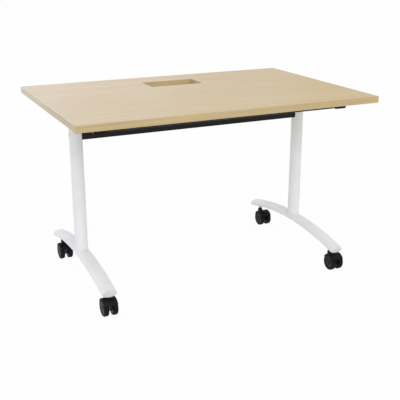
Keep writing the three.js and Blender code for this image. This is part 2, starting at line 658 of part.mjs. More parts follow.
function housingHood() {
  const outline = new THREE.Shape();
  outline.absarc(-CASTOR_TRAIL, AXLE_Z, HOOD_OUTER, HOOD_FRONT_ANGLE, HOOD_REAR_ANGLE);
  outline.absarc(-CASTOR_TRAIL, AXLE_Z, HOOD_INNER, HOOD_REAR_ANGLE, HOOD_FRONT_ANGLE, true);
  outline.closePath();
  return sideExtrusion(outline, WHEEL_GAP + 2 * WHEEL_WIDTH);
}

function castorHousing() {
  const neck = rod(NECK_RADIUS, AXLE_Z + WHEEL_RADIUS, NECK_TOP_Z, SMALL_SIDES);
  const stemBore = rod(STEM_RADIUS + FIT_GAP, STEM_BASE_Z - FIT_GAP, NECK_TOP_Z + CUT_OVERRUN, SMALL_SIDES);
  const axleBore = alongX(rod(AXLE_RADIUS + FIT_GAP, -WHEEL_GAP, WHEEL_GAP, SMALL_SIDES));
  axleBore.translate(0, -CASTOR_TRAIL, AXLE_Z);
  return cut(join(housingWeb(), housingHood(), neck), stemBore, axleBore);
}

function castorAxle() {
  const half = WHEEL_GAP / 2 + WHEEL_WIDTH - AXLE_END_WALL - FIT_GAP;
  return alongX(rod(AXLE_RADIUS, -half, half, SMALL_SIDES)).translate(0, -CASTOR_TRAIL, AXLE_Z);
}

// Wheel along +X: a flat inner face with a blind bore, and a dished outer face with a hub cap
function wheel() {
  const half = WHEEL_WIDTH / 2;
  const bore = AXLE_RADIUS + FIT_GAP;
  const profile = [
    [0, half - AXLE_END_WALL],
    [bore, half - AXLE_END_WALL],
    [bore, -half],
    [WHEEL_RADIUS - WHEEL_EDGE, -half],
    [WHEEL_RADIUS, WHEEL_EDGE - half],
    [WHEEL_RADIUS, half - WHEEL_EDGE],
    [WHEEL_RADIUS - WHEEL_EDGE, half],
    [WHEEL_RADIUS - WHEEL_EDGE - WHEEL_RIM, half],
    [WHEEL_RADIUS - 2 * WHEEL_EDGE - WHEEL_RIM, half - WHEEL_DISH],
    [HUBCAP_RADIUS + WHEEL_DISH, half - WHEEL_DISH],
    [HUBCAP_RADIUS, half],
    [0, half],
  ];
  return alongX(turned(profile, WHEEL_SIDES, Math.PI / WHEEL_SIDES));
}

// Assembly
const SIDES = [["left", -1], ["right", 1]];
const ENDS = [["front", -1], ["rear", 1]];

function placed(mesh, x, y, z, turn = 0) {
  mesh.position.set(x, y, z);
  mesh.rotation.z = turn;
  return mesh;
}

function castor(place) {
  const group = new THREE.Group();
  group.add(named(`castor_${place}_housing`, castorHousing(), BLACK_PLASTIC));
  group.add(named(`castor_${place}_axle`, castorAxle(), ZINC));
  return group;
}

function wheelPair(place, outward) {
  return [["outer", outward], ["inner", -outward]].map(([name, side]) => {
    const mesh = named(`wheel_${place}_${name}`, wheel(), BLACK_PLASTIC);
    return placed(mesh, side * WHEEL_MID_X, -CASTOR_TRAIL, AXLE_Z, side > 0 ? 0 : Math.PI);
  });
}

function legEnd(end, along, side, outward) {
  const place = `${end}_${side}`;
  const turn = along > 0 ? 0 : Math.PI;
  const rolling = castor(place);
  rolling.add(...wheelPair(place, outward));
  rolling.position.set(0, along * STEM_Y, 0);
  return [
    placed(named(`foot_cap_${place}`, footCap(), WHITE_PLASTIC), 0, 0, 0, turn),
    placed(named(`castor_${place}_stem`, castorStem(), ZINC), 0, 0, 0, turn),
    placed(named(`arm_cap_${place}`, armCap(), BLACK_PLASTIC), 0, 0, 0, turn),
    rolling,
  ];
}

function leg(side, outward) {
  const group = new THREE.Group();
  const turn = outward > 0 ? 0 : Math.PI;
  group.add(
    named(`foot_${side}`, foot(), WHITE_PAINT),
    named(`column_${side}`, column(outward), WHITE_PAINT),
    named(`pivot_head_${side}`, pivotHead(outward), CAST_ALUMINIUM),
    named(`pivot_bush_${side}`, pivotBush(), ACETAL),
    placed(named(`pivot_pin_${side}`, pivotPin(), ZINC), 0, 0, 0, turn),
    placed(named(`pivot_nut_${side}`, pivotNut(), ZINC), 0, 0, 0, turn),
    named(`beam_plate_${side}`, beamPlate(outward), ZINC),
    named(`beam_screw_${side}`, beamScrew(outward), ZINC),
    named(`arm_${side}`, arm(outward), BLACK_PAINT),
    named(`latch_guide_${side}`, latchGuide(), BLACK_PLASTIC),
    named(`latch_bolt_${side}`, latchBolt(), ZINC),
    named(`latch_spring_${side}`, latchSpring(), SPRING_STEEL),
    named(`pull_rod_${side}`, pullRod(), ZINC),
    ...ENDS.flatMap(([end, along]) => legEnd(end, along, side, outward)),
  );
  group.position.x = outward * LEG_X;
  return group;
}

const table = new THREE.Group();
table.add(
  named("tabletop", tabletop(), BOARD),
  named("edge_band", edgeBand(), EDGE),
  named("cutout_band", cutoutBand(), EDGE),
  named("beam", beam(), BLACK_PAINT),
  named("release_bar", releaseBar(), BLACK_PAINT),
  ...SIDES.map(([side, outward]) => leg(side, outward)),
);

export default table;
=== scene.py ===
"""Looks of a flip top training table: finely shaped pieces, finishes, studio and camera.

Metres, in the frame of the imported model: +X along the top, -Y towards the user, +Z up.
"""
import math

import bmesh
import bpy
from mathutils import Matrix, Vector


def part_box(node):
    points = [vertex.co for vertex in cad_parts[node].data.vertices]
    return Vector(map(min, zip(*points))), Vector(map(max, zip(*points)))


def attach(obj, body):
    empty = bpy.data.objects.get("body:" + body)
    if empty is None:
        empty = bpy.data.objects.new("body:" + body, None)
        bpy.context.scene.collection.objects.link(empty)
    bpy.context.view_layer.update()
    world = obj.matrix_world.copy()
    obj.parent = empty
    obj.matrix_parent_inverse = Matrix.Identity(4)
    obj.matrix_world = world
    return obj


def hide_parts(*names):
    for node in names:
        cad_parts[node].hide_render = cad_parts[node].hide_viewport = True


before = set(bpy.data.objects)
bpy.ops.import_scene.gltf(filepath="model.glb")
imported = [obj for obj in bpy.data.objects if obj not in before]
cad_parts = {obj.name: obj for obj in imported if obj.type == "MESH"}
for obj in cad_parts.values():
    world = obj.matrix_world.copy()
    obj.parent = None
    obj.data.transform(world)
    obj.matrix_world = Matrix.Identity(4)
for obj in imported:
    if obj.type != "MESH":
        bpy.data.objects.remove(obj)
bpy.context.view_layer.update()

SIDES = (("left", -1), ("right", 1))
ENDS = (("front", -1), ("rear", 1))
PLACES = [(f"{end}_{side}", along, outward) for side, outward in SIDES for end, along in ENDS]

# Sizes that the boxes of the nodes don't give: the top
BAND_THICKNESS = 0.002
BAND_ARRIS = 0.001
TOP_CORNER_RADIUS = 0.003
CUTOUT_ARRIS = 0.0006
CUTOUT_CORNER_RADIUS = 0.0008

# Sizes of the feet and columns
COLUMN_WALL = 0.002
FOOT_ARC_RADIUS = 1.45
FOOT_LENGTH = 0.670
FOOT_DEPTH = 0.030
FOOT_WALL = 0.0025
FOOT_END_ANGLE = math.asin(FOOT_LENGTH / 2 / FOOT_ARC_RADIUS)
CAP_GAP = 0.0003
CAP_PLATE = 0.004
CAP_EDGE_RADIUS = 0.0034
CAP_CROWN = 0.0005
CAP_CROWN_SHARES = (0.8, 0.6, 0.4, 0.2, 0.05)
COVER_RADIUS = 0.0092
COVER_RISE = 0.0009
COVER_SHOULDER_SHARE = 0.85
COVER_FACE_SHARES = (0.8, 0.4, 0.01)
WELD_RADIUS = 0.0019
WELD_RIPPLE = 0.08
WELD_RIPPLES = 24

# Sizes of the beam, the pivots and the latch
BEAM_WALL = 0.002
BEAM_CORNER_RADIUS = 0.003
BEAM_END_GAP = 0.0002
SCREW_CHAMFER = 0.0008
SCREW_SOCKET_SHARE = 0.6
SCREW_HEAD_CLEARANCE = 0.0003
SCREW_HEAD_HEIGHT = 0.008
SCREW_SHANK_RADIUS = 0.004
SCREW_KEY_RADIUS = 0.0035
PIN_RADIUS = 0.006
PIN_HEAD_HEIGHT = 0.004
PIN_KEY_RADIUS = 0.004
NUT_FACE_SHARE = 0.87
NUT_CHAMFER = 0.0012
NUT_BORE_GAP = 0.0003
SPRING_MEAN_RADIUS = 0.006
SPRING_WIRE_RADIUS = 0.0008
SPRING_TURNS = 6

# Sizes of the arms and the release bar
ARM_WALL = 0.003
ARM_SCREW_Y = (-0.235, -0.185, 0.09, 0.18, 0.27)
PAN_HEAD_PROFILE = (
    (0, -0.0030), (0.0030, -0.0027), (0.0040, -0.0020), (0.0045, -0.0008), (0.0045, 0), (0, 0),
)
RECESS_REACH = 0.0023
RECESS_HALF_WIDTH = 0.0005
RECESS_FLOOR = -0.0014
BAR_CHAMFER = 0.0008
SLEEVE_RADIUS = 0.008
SLEEVE_TO_ARM = 0.001
SLEEVE_GAP = 0.0001
SLEEVE_END_CHAMFER = 0.001

# Sizes of the castors
WHEEL_RADIUS_CAD = 0.0335
WHEEL_BORE_RADIUS = 0.0043
WHEEL_END_WALL = 0.0025
WHEEL_SHOULDER = 0.0052
WHEEL_INNER_SHOULDER = 0.0042
WHEEL_INNER_LAND = 0.003
WHEEL_RIM_LAND = 0.0026
WHEEL_DISH = 0.0016
WHEEL_HUB_RADIUS = 0.0095
HOOD_GAP = 0.0008
HOOD_WALL = 0.0017
HOOD_CORNER_RADIUS = 0.0032
HOOD_SIDE_INSET = 0.0003
HOOD_FRONT_ANGLE = math.radians(25)
HOOD_REAR_ANGLE = math.radians(150)
WEB_WIDTH = 0.0146
WEB_HUB_RADIUS = 0.015
WEB_ARCH_INSET = 0.0005
NECK_RADIUS = 0.0085
NECK_FLOOR = 0.006
STEM_RADIUS = 0.0055
STEM_GAP = 0.0003
STEM_TIP_CHAMFER = 0.001
STEM_COLLAR_RADIUS = 0.008
STEM_COLLAR_HEIGHT = 0.003
STEM_COLLAR_CHAMFER = 0.0006
STEM_COLLAR_SEAT = 0.0022
STEM_EXPOSED = 0.0085

# Outer face of a wheel, as steps out from the rim or the hub with a depth or a share of the dish
RIM_GROOVE = ((0.0008, 0.0), (0.0004, 0.0007), (-0.0002, 0.0007), (-0.0006, 0.0002), (-0.0016, 0.0004))
RIM_DISH = ((-0.0036, 0.8), (-0.006, 1.0))
HUB_DISH = ((0.0022, 1.0), (0.0006, 0.8), (0.0, 0.4), (-0.0007, 0.1), (-0.002, 0.0))

# Widths of eased edges
ARM_EASE = 0.0008
ARM_CAP_EASE = 0.0004
STEEL_EASE = 0.0005
MOULDED_EASE = 0.0006
HOUSING_EASE = 0.0008

# Length by which a cutter passes the end of what it cuts, and the distance at which points are one
CUT_OVERRUN = 0.01
SAME_POINT = 1e-7

# Fineness of round forms
ROUND = 96
FINE = 48
SMALL = 32
HEXAGON = 6
WIRE_SIDES = 10
BEAD_SIDES = 12
HUB_STEPS = 12
CORNER_STEPS = 8
HOOD_CORNER_STEPS = 6
ARRIS_STEPS = 5


# Points and skins
def arc(centre, radius, start, end, steps):
    """Points on an arc in a plane, both ends included."""
    angles = [start + (end - start) * i / steps for i in range(steps + 1)]
    return [(centre[0] + radius * math.cos(a), centre[1] + radius * math.sin(a)) for a in angles]


def rounded_corners(half_x, half_y, radius):
    """The four corners of a rounded rectangle: the signs of each and its arc of points."""
    corners = []
    for turn, (right, rear) in enumerate(((1, 1), (-1, 1), (-1, -1), (1, -1))):
        centre = (right * (half_x - radius), rear * (half_y - radius))
        start = turn * math.pi / 2
        corners.append((right, rear, arc(centre, radius, start, start + math.pi / 2, CORNER_STEPS)))
    return corners


def loft(rings, closed=False):
    """A skin through rings of points, with capped ends unless the last ring meets the first."""
    bm = bmesh.new()
    rows = [[bm.verts.new(point) for point in ring] for ring in rings]
    pairs = list(zip(rows, rows[1:]))
    if closed:
        pairs.append((rows[-1], rows[0]))
    for one, two in pairs:
        for i in range(len(one)):
            j = (i + 1) % len(one)
            bm.faces.new((one[i], one[j], two[j], two[i]))
    if not closed:
        bm.faces.new(rows[0][::-1])
        bm.faces.new(rows[-1])
    return cleaned(bm)


def cleaned(bm):
    bmesh.ops.remove_doubles(bm, verts=bm.verts, dist=SAME_POINT)
    bmesh.ops.recalc_face_normals(bm, faces=bm.faces)
    return bm


def turned(profile, sides=ROUND, closed=False):
    """A body of revolution about Z from (radius, z) points."""
    turns = [2 * math.pi * i / sides for i in range(sides)]
    rings = [[(r * math.cos(a), r * math.sin(a), z) for a in turns] for r, z in profile]
    return loft(rings, closed)


def rod(radius, low, high, chamfer=0.0, sides=ROUND):
    return turned(
        [
            (0, low), (radius - chamfer, low), (radius, low + chamfer),
            (radius, high - chamfer), (radius - chamfer, high), (0, high),
        ],
        sides,
    )


def prism(outline, low, high):
    """An outline in Y and Z, extruded along X."""
    return loft([[(x, y, z) for y, z in outline] for x in (low, high)])


def moved(bm, x=0.0, y=0.0, z=0.0):
    bmesh.ops.translate(bm, verts=bm.verts, vec=(x, y, z))
    return bm


def turned_over(bm, angle, axis):
    bmesh.ops.rotate(bm, verts=bm.verts, cent=(0, 0, 0), matrix=Matrix.Rotation(angle, 3, axis))
    return bm


def along_x(bm, direction=1):
    """Lays a piece made along Z down along X."""
    return turned_over(bm, direction * math.pi / 2, "Y")


def joined(*parts):
    whole = bmesh.new()
    for part in parts:
        mesh = bpy.data.meshes.new("part")
        part.to_mesh(mesh)
        part.free()
        whole.from_mesh(mesh)
        bpy.data.meshes.remove(mesh)
    return whole


def loose(bm):
    mesh = bpy.data.meshes.new("loose")
    bm.to_mesh(mesh)
    bm.free()
    obj = bpy.data.objects.new("loose", mesh)
    bpy.context.scene.collection.objects.link(obj)
    return obj


def boolean(body, operation, *tools):
    """The body after each tool has been joined to it, cut from it or crossed with it."""
    objects = [loose(body)] + [loose(tool) for tool in tools]
    for tool in objects[1:]:
        modifier = objects[0].modifiers.new("boolean", "BOOLEAN")
        modifier.operation = operation
        modifier.solver = "EXACT"
        modifier.object = tool
    result = bmesh.new()
    result.from_mesh(objects[0].evaluated_get(bpy.context.evaluated_depsgraph_get()).to_mesh())
    for obj in objects:
        mesh = obj.data
        bpy.data.objects.remove(obj)
        bpy.data.meshes.remove(mesh)
    return result


def smooth(obj, angle=35):
    obj.data.shade_smooth()
    obj.data.set_sharp_from_angle(angle=math.radians(angle))


def eased(obj, width, segments=2, angle=40):
    """Takes the sharpness off the edges of a piece."""
    modifier = obj.modifiers.new("eased", "BEVEL")
    modifier.width = width
    modifier.segments = segments
    modifier.limit_method = "ANGLE"
    modifier.angle_limit = math.radians(angle)
    modifier.harden_normals = True
    return obj


def piece(name, bm, finish, slot, body, *nodes):
    """A finished piece that rides on a body and stands for the nodes."""
    mesh = bpy.data.meshes.new(name)
    cleaned(bm).to_mesh(mesh)
    bm.free()
    for material in finish if isinstance(finish, tuple) else (finish,):
        mesh.materials.append(material)
    obj = bpy.data.objects.new(name, mesh)
    bpy.context.scene.collection.objects.link(obj)
    smooth(obj)
    if nodes:
        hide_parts(*nodes)
    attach(obj, body)
    return obj


def dressed(node, finish, ease=0.0):
    """A node that keeps its own shape and gets a finish."""
    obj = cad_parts[node]
    obj.data.materials.clear()
    obj.data.materials.append(finish)
    smooth(obj, angle=30)
    if ease:
        eased(obj, ease)
    return obj


def middle(node):
    low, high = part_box(node)
    return (Vector(low) + Vector(high)) / 2


def span(node):
    low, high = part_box(node)
    return Vector(high) - Vector(low)


# Finishes
def new_material(name, base, roughness, metallic=0.0, sheen=0.5):
    material = bpy.data.materials.new(name)
    material.use_nodes = True
    shader = material.node_tree.nodes["Principled BSDF"]
    shader.inputs["Base Color"].default_value = (*base, 1)
    shader.inputs["Roughness"].default_value = roughness
    shader.inputs["Metallic"].default_value = metallic
    shader.inputs["Specular IOR Level"].default_value = sheen
    return material, shader


def add(material, kind, inputs, **settings):
    """A node of a material, with its inputs set or linked."""
    node = material.node_tree.nodes.new(kind)
    for key, value in settings.items():
        setattr(node, key, value)
    for key, value in inputs.items():
        if isinstance(value, bpy.types.NodeSocket):
            material.node_tree.links.new(value, node.inputs[key])
        else:
            node.inputs[key].default_value = value
    return node


def noise(material, scale, detail=3.0, rough=0.55, shift=0.0):
    """Noise in the piece's own space, stretched by a scale per axis, in waves per metre."""
    place = add(material, "ShaderNodeTexCoord", {})
    mapping = add(
        material, "ShaderNodeMapping",
        {"Vector": place.outputs["Object"], "Scale": scale, "Location": (shift, shift, shift)},
    )
    texture = add(
        material, "ShaderNodeTexNoise",
        {"Vector": mapping.outputs["Vector"], "Scale": 1.0, "Detail": detail, "Roughness": rough},
    )
    return texture.outputs["Fac"]


def ranged(material, value, low, high, out_low, out_high):
    node = add(
        material, "ShaderNodeMapRange",
        {"Value": value, "From Min": low, "From Max": high, "To Min": out_low, "To Max": out_high},
    )
    return node.outputs["Result"]


def ramp(material, value, *stops):
    node = add(material, "ShaderNodeValToRGB", {"Fac": value})
    elements = node.color_ramp.elements
    while len(elements) < len(stops):
        elements.new(0.5)
    for element, (position, colour) in zip(elements, stops):
        element.position = position
        element.color = (*colour, 1)
    return node.outputs["Color"]


def mixed(material, factor, one, two, blend="MIX"):
    node = add(material, "ShaderNodeMix", {}, data_type="RGBA", blend_type=blend)
    links = material.node_tree.links
    for socket, value in ((node.inputs[0], factor), (node.inputs[6], one), (node.inputs[7], two)):
        if isinstance(value, bpy.types.NodeSocket):
            links.new(value, socket)
        else:
            socket.default_value = value
    return node.outputs[2]


def bumped(material, shader, height, strength, distance):
    node = add(
        material, "ShaderNodeBump", {"Height": height, "Strength": strength, "Distance": distance}
    )
    material.node_tree.links.new(node.outputs["Normal"], shader.inputs["Normal"])


def link(material, socket, shader, name):
    material.node_tree.links.new(socket, shader.inputs[name])


def board_finish():
    """Pale wood laminate: soft figure, fine grain and short pores, all along X."""
    dark, base, pale = (0.586, 0.430, 0.197), (0.602, 0.449, 0.214), (0.617, 0.466, 0.231)
    material, shader = new_material("board_laminate", base, roughness=0.4)
    figure = noise(material, (0.9, 11.0, 4.0), detail=4.0, rough=0.5)
    grain = noise(material, (5.0, 230.0, 40.0), detail=4.0, rough=0.6, shift=3.0)
    pores = noise(material, (22.0, 900.0, 90.0), detail=2.0, rough=0.5, shift=7.0)
    tone = ramp(material, figure, (0.30, dark), (0.50, base), (0.72, pale))
    lines = ramp(material, grain, (0.30, (0.90, 0.875, 0.83)), (0.62, (1.0, 1.0, 1.0)))
    short = ramp(material, pores, (0.26, (0.82, 0.77, 0.69)), (0.40, (1.0, 1.0, 1.0)))
    colour = mixed(material, 0.85, tone, lines, "MULTIPLY")
    link(material, mixed(material, 0.6, colour, short, "MULTIPLY"), shader, "Base Color")
    link(material, ranged(material, grain, 0.3, 0.7, 0.44, 0.34), shader, "Roughness")
    bumped(material, shader, grain, strength=0.10, distance=0.0004)
    return material


def edge_finish():
    """Plastic edging printed to match the board: fine streaks along the edge."""
    dark, base, pale = (0.450, 0.325, 0.145), (0.515, 0.385, 0.187), (0.56, 0.43, 0.225)
    material, shader = new_material("edge_banding", base, roughness=0.34)
    streaks = noise(material, (3.0, 3.0, 420.0), detail=4.0, rough=0.6)
    clouds = noise(material, (7.0, 7.0, 30.0), detail=2.0, rough=0.5, shift=5.0)
    tone = ramp(material, streaks, (0.28, dark), (0.50, base), (0.74, pale))
    shade = ramp(material, clouds, (0.3, (0.93, 0.92, 0.9)), (0.7, (1.0, 1.0, 1.0)))
    link(material, mixed(material, 1.0, tone, shade, "MULTIPLY"), shader, "Base Color")
    link(material, ranged(material, streaks, 0.3, 0.7, 0.38, 0.30), shader, "Roughness")
    shader.inputs["Coat Weight"].default_value = 0.5
    shader.inputs["Coat Roughness"].default_value = 0.25
    bumped(material, shader, streaks, strength=0.06, distance=0.0003)
    return material


def coat_finish(name, base, roughness, peel, strength, sheen=0.5):
    """Powder coat: an even colour with orange peel and slightly uneven gloss."""
    material, shader = new_material(name, base, roughness, sheen=sheen)
    skin = noise(material, (peel, peel, peel), detail=2.0, rough=0.5)
    clouds = noise(material, (9.0, 9.0, 9.0), detail=2.0, rough=0.5, shift=4.0)
    dull = tuple(0.96 * channel for channel in base)
    gloss = ranged(material, clouds, 0.3, 0.7, roughness + 0.05, roughness - 0.04)
    link(material, ramp(material, clouds, (0.35, dull), (0.65, base)), shader, "Base Color")
    link(material, gloss, shader, "Roughness")
    bumped(material, shader, skin, strength, distance=0.0003)
    return material


def plastic_finish(name, base, roughness, pits, strength, sheen=0.5):
    """Moulded plastic: a fine spark-eroded surface, polished a little where it is handled."""
    material, shader = new_material(name, base, roughness, sheen=sheen)
    skin = noise(material, (pits, pits, pits), detail=3.0, rough=0.6)
    rub = noise(material, (35.0, 35.0, 35.0), detail=3.0, rough=0.6, shift=2.0)
    pale = tuple(min(1.0, 1.25 * channel + 0.002) for channel in base)
    gloss = ranged(material, rub, 0.3, 0.7, roughness + 0.06, roughness - 0.08)
    link(material, ramp(material, rub, (0.40, base), (0.75, pale)), shader, "Base Color")
    link(material, gloss, shader, "Roughness")
    bumped(material, shader, skin, strength, distance=0.0003)
    return material


def metal_finish(name, base, roughness, grain, strength):
    """Bare or plated metal: cloudy gloss over a fine grain."""
    material, shader = new_material(name, base, roughness, metallic=1.0)
    skin = noise(material, (grain, grain, grain), detail=3.0, rough=0.6)
    clouds = noise(material, (60.0, 60.0, 60.0), detail=3.0, rough=0.6, shift=6.0)
    dark = tuple(0.82 * channel for channel in base)
    gloss = ranged(material, clouds, 0.3, 0.7, roughness + 0.1, roughness - 0.08)
    link(material, ramp(material, clouds, (0.35, dark), (0.65, base)), shader, "Base Color")
    link(material, gloss, shader, "Roughness")
    bumped(material, shader, skin, strength, distance=0.0002)
    return material


BOARD = board_finish()
EDGE = edge_finish()
WHITE_COAT = coat_finish("white_coat", (0.85, 0.862, 0.876), roughness=0.42, peel=520.0, strength=0.10)
WHITE_PLASTIC = plastic_finish(
    "white_plastic", (0.67, 0.675, 0.685), roughness=0.5, pits=1300.0, strength=0.12
)
BLACK_COAT = coat_finish(
    "black_coat", (0.0088, 0.0092, 0.0105), roughness=0.5, peel=700.0, strength=0.18, sheen=0.2
)
BLACK_PLASTIC = plastic_finish(
    "black_plastic", (0.005, 0.005, 0.0052), roughness=0.42, pits=1500.0, strength=0.14, sheen=0.13
)
TREAD = plastic_finish("tread", (0.004, 0.004, 0.004), roughness=0.62, pits=2200.0, strength=0.2, sheen=0.13)
ZINC = metal_finish("zinc", (0.62, 0.63, 0.65), roughness=0.36, grain=900.0, strength=0.08)
SPRING_STEEL = metal_finish("spring_steel", (0.50, 0.51, 0.53), roughness=0.3, grain=1500.0, strength=0.05)
CAST_ALUMINIUM = metal_finish("cast_aluminium", (0.58, 0.59, 0.60), roughness=0.52, grain=700.0, strength=0.3)
ACETAL = plastic_finish("acetal", (0.70, 0.69, 0.65), roughness=0.45, pits=1200.0, strength=0.08)


# Top
def band(hidden, shown, middle_y, corner, arris, low, high):
    """An edge strip round a rectangle: its shown face has rounded arrises and corners."""
    part = arris / BAND_THICKNESS
    section = [(0, low)]
    for start, level in ((-math.pi / 2, low + arris), (0, high - arris)):
        for x, z in arc((0, 0), 1, start, start + math.pi / 2, ARRIS_STEPS):
            section.append((1 + part * (x - 1), level + arris * z))
    section.append((0, high))
    rings = []
    for right, rear, points in rounded_corners(shown[0], shown[1], corner):
        inner = (right * hidden[0], rear * hidden[1])
        for outer in points:
            ring = []
            for share, z in section:
                x = inner[0] + share * (outer[0] - inner[0])
                y = inner[1] + share * (outer[1] - inner[1])
                ring.append((x, middle_y + y, z))
            rings.append(ring)
    return loft(rings, closed=True)


def make_top():
    dressed("tabletop", BOARD)
    low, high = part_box("edge_band")
    board = span("tabletop") / 2
    outer = span("edge_band") / 2
    strip = band(board, outer, 0.0, TOP_CORNER_RADIUS, BAND_ARRIS, low[2], high[2])
    piece("edging", strip, EDGE, "edge", "top", "edge_band")
    sawn = span("cutout_band") / 2
    clear = (sawn.x - BAND_THICKNESS, sawn.y - BAND_THICKNESS)
    centre_y = middle("cutout_band").y
    strip = band(sawn, clear, centre_y, CUTOUT_CORNER_RADIUS, CUTOUT_ARRIS, low[2], high[2])
    piece("cutout_edging", strip, EDGE, "edge", "top", "cutout_band")


# Feet and columns
def foot_arc_z(side):
    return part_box(f"foot_{side}")[1][2] - FOOT_DEPTH / 2 - FOOT_ARC_RADIUS


def foot_ring(side, angle, width, depth, push=0.0):
    """An oval section of a foot, at an angle along its arc and pushed on past it."""
    x = middle(f"foot_{side}").x
    along = math.copysign(push, angle)
    y = FOOT_ARC_RADIUS * math.sin(angle) + along * math.cos(angle)
    z = foot_arc_z(side) + FOOT_ARC_RADIUS * math.cos(angle) - along * math.sin(angle)
    ring = []
    for i in range(FINE):
        turn = 2 * math.pi * i / FINE
        lift = depth / 2 * math.sin(turn)
        ring.append((x + width / 2 * math.cos(turn), y + lift * math.sin(angle), z + lift * math.cos(angle)))
    return ring


def foot(side):
    width = span(f"foot_{side}").x
    angles = [FOOT_END_ANGLE * (2 * i / ROUND - 1) for i in range(ROUND + 1)]
    outer = [foot_ring(side, angle, width, FOOT_DEPTH) for angle in angles]
    inside = (width - 2 * FOOT_WALL, FOOT_DEPTH - 2 * FOOT_WALL)
    inner = [foot_ring(side, angle, *inside) for angle in reversed(angles)]
    skin = loft(outer + inner, closed=True)
    piece(f"arched_foot_{side}", skin, WHITE_COAT, "white_paint", "frame", f"foot_{side}")


def foot_cap(place, along):
    side = place.split("_")[1]
    width = span(f"foot_{side}").x
    angle = along * FOOT_END_ANGLE
    rings = [foot_ring(side, angle, width, FOOT_DEPTH, CAP_GAP)]
    centre = (-CAP_EDGE_RADIUS, CAP_PLATE - CAP_EDGE_RADIUS)
    for out, up in arc(centre, CAP_EDGE_RADIUS, 0, math.pi / 2, CORNER_STEPS):
        rings.append(foot_ring(side, angle, width + 2 * out, FOOT_DEPTH + 2 * out, CAP_GAP + up))
    face = (width - 2 * CAP_EDGE_RADIUS, FOOT_DEPTH - 2 * CAP_EDGE_RADIUS)
    for share in CAP_CROWN_SHARES:
        crown = CAP_GAP + CAP_PLATE + CAP_CROWN * (1 - share ** 2)
        rings.append(foot_ring(side, angle, share * face[0], share * face[1], crown))
    piece(f"end_cap_{place}", loft(rings), WHITE_PLASTIC, "white_plastic", "frame", f"foot_cap_{place}")


def saddle_z(side, dx, y):
    """Height of a foot's upper skin, at a distance from its middle line."""
    half = span(f"foot_{side}").x / 2
    reach = FOOT_ARC_RADIUS + FOOT_DEPTH / 2 * math.sqrt(max(0.0, 1 - (dx / half) ** 2))
    return foot_arc_z(side) + math.sqrt(reach ** 2 - y ** 2)


def column(side, outward):
    x = middle(f"column_{side}").x
    radius = span(f"column_{side}").x / 2
    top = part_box(f"column_{side}")[1][2]
    turns = [2 * math.pi * i / ROUND for i in range(ROUND)]

    def ring(r, z=None):
        points = [(r * math.cos(a), r * math.sin(a)) for a in turns]
        return [(x + dx, dy, saddle_z(side, dx, dy) if z is None else z) for dx, dy in points]

    bore = radius - COLUMN_WALL
    shell = loft([ring(radius), ring(radius, top), ring(bore, top), ring(bore)], closed=True)
    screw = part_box(f"beam_screw_{side}")
    hole_radius = (screw[1][2] - screw[0][2]) / 2 + SCREW_HEAD_CLEARANCE
    hole = along_x(rod(hole_radius, 0, 2 * radius, 0, SMALL), outward)
    drilled = boolean(shell, "DIFFERENCE", moved(hole, x, 0, middle(f"beam_screw_{side}").z))
    piece(f"tube_column_{side}", drilled, WHITE_COAT, "white_paint", "frame", f"column_{side}")
    screw_cover(side, outward, x, radius, hole_radius)
    weld(side, x, radius, turns)


def screw_cover(side, outward, x, radius, hole_radius):
    """A press-in cover over the screw hole of a column, shaped to the tube."""
    neck = hole_radius - SCREW_HEAD_CLEARANCE
    profile = [(neck, -COLUMN_WALL / 2), (neck, 0.0), (COVER_RADIUS, 0.0), (COVER_RADIUS, COVER_RISE / 3)]
    profile += [(COVER_RADIUS - COVER_RISE / 2, COVER_SHOULDER_SHARE * COVER_RISE)]
    profile += [(share * COVER_RADIUS, COVER_RISE) for share in COVER_FACE_SHARES]
    z = middle(f"beam_screw_{side}").z
    rings = []
    for reach, rise in profile:
        ring = []
        for i in range(FINE):
            turn = 2 * math.pi * i / FINE
            y = reach * math.cos(turn)
            out = math.sqrt(radius ** 2 - y ** 2) + rise
            ring.append((x + outward * out, y, z + reach * math.sin(turn)))
        rings.append(ring)
    piece(f"screw_cover_{side}", loft(rings), WHITE_PLASTIC, "white_plastic", "frame")


def weld(side, x, radius, turns):
    """A painted bead where the column meets the foot."""
    rings = []
    for a in turns:
        dx, dy = radius * math.cos(a), radius * math.sin(a)
        foot_z = saddle_z(side, dx, dy)
        ripple = WELD_RADIUS * (1 + WELD_RIPPLE * math.sin(WELD_RIPPLES * a))
        ring = []
        for out, up in arc((0, 0), ripple, 0, 2 * math.pi, BEAD_SIDES)[:-1]:
            ring.append((x + dx + out * math.cos(a), dy + out * math.sin(a), foot_z + up))
        rings.append(ring)
    piece(f"column_weld_{side}", loft(rings, closed=True), WHITE_COAT, "white_paint", "frame")


# Beam
def make_beam():
    size = span("beam") / 2
    centre = middle("beam")
    column_x = middle("column_right").x
    column_radius = span("column_right").x / 2 + BEAM_END_GAP

    def ring(inset, direction):
        points = []
        for _, _, corner in rounded_corners(size.y - inset, size.z - inset, BEAM_CORNER_RADIUS - inset):
            for y, z in corner:
                end = column_x - math.sqrt(column_radius ** 2 - y ** 2)
                points.append((direction * end, centre.y + y, centre.z + z))
        return points

    tube = loft([ring(0, -1), ring(0, 1), ring(BEAM_WALL, 1), ring(BEAM_WALL, -1)], closed=True)
    piece("cross_beam", tube, BLACK_COAT, "black_paint", "frame", "beam")
    for side, outward in SIDES:
        dressed(f"beam_plate_{side}", ZINC, STEEL_EASE)
        beam_screw(side, outward)


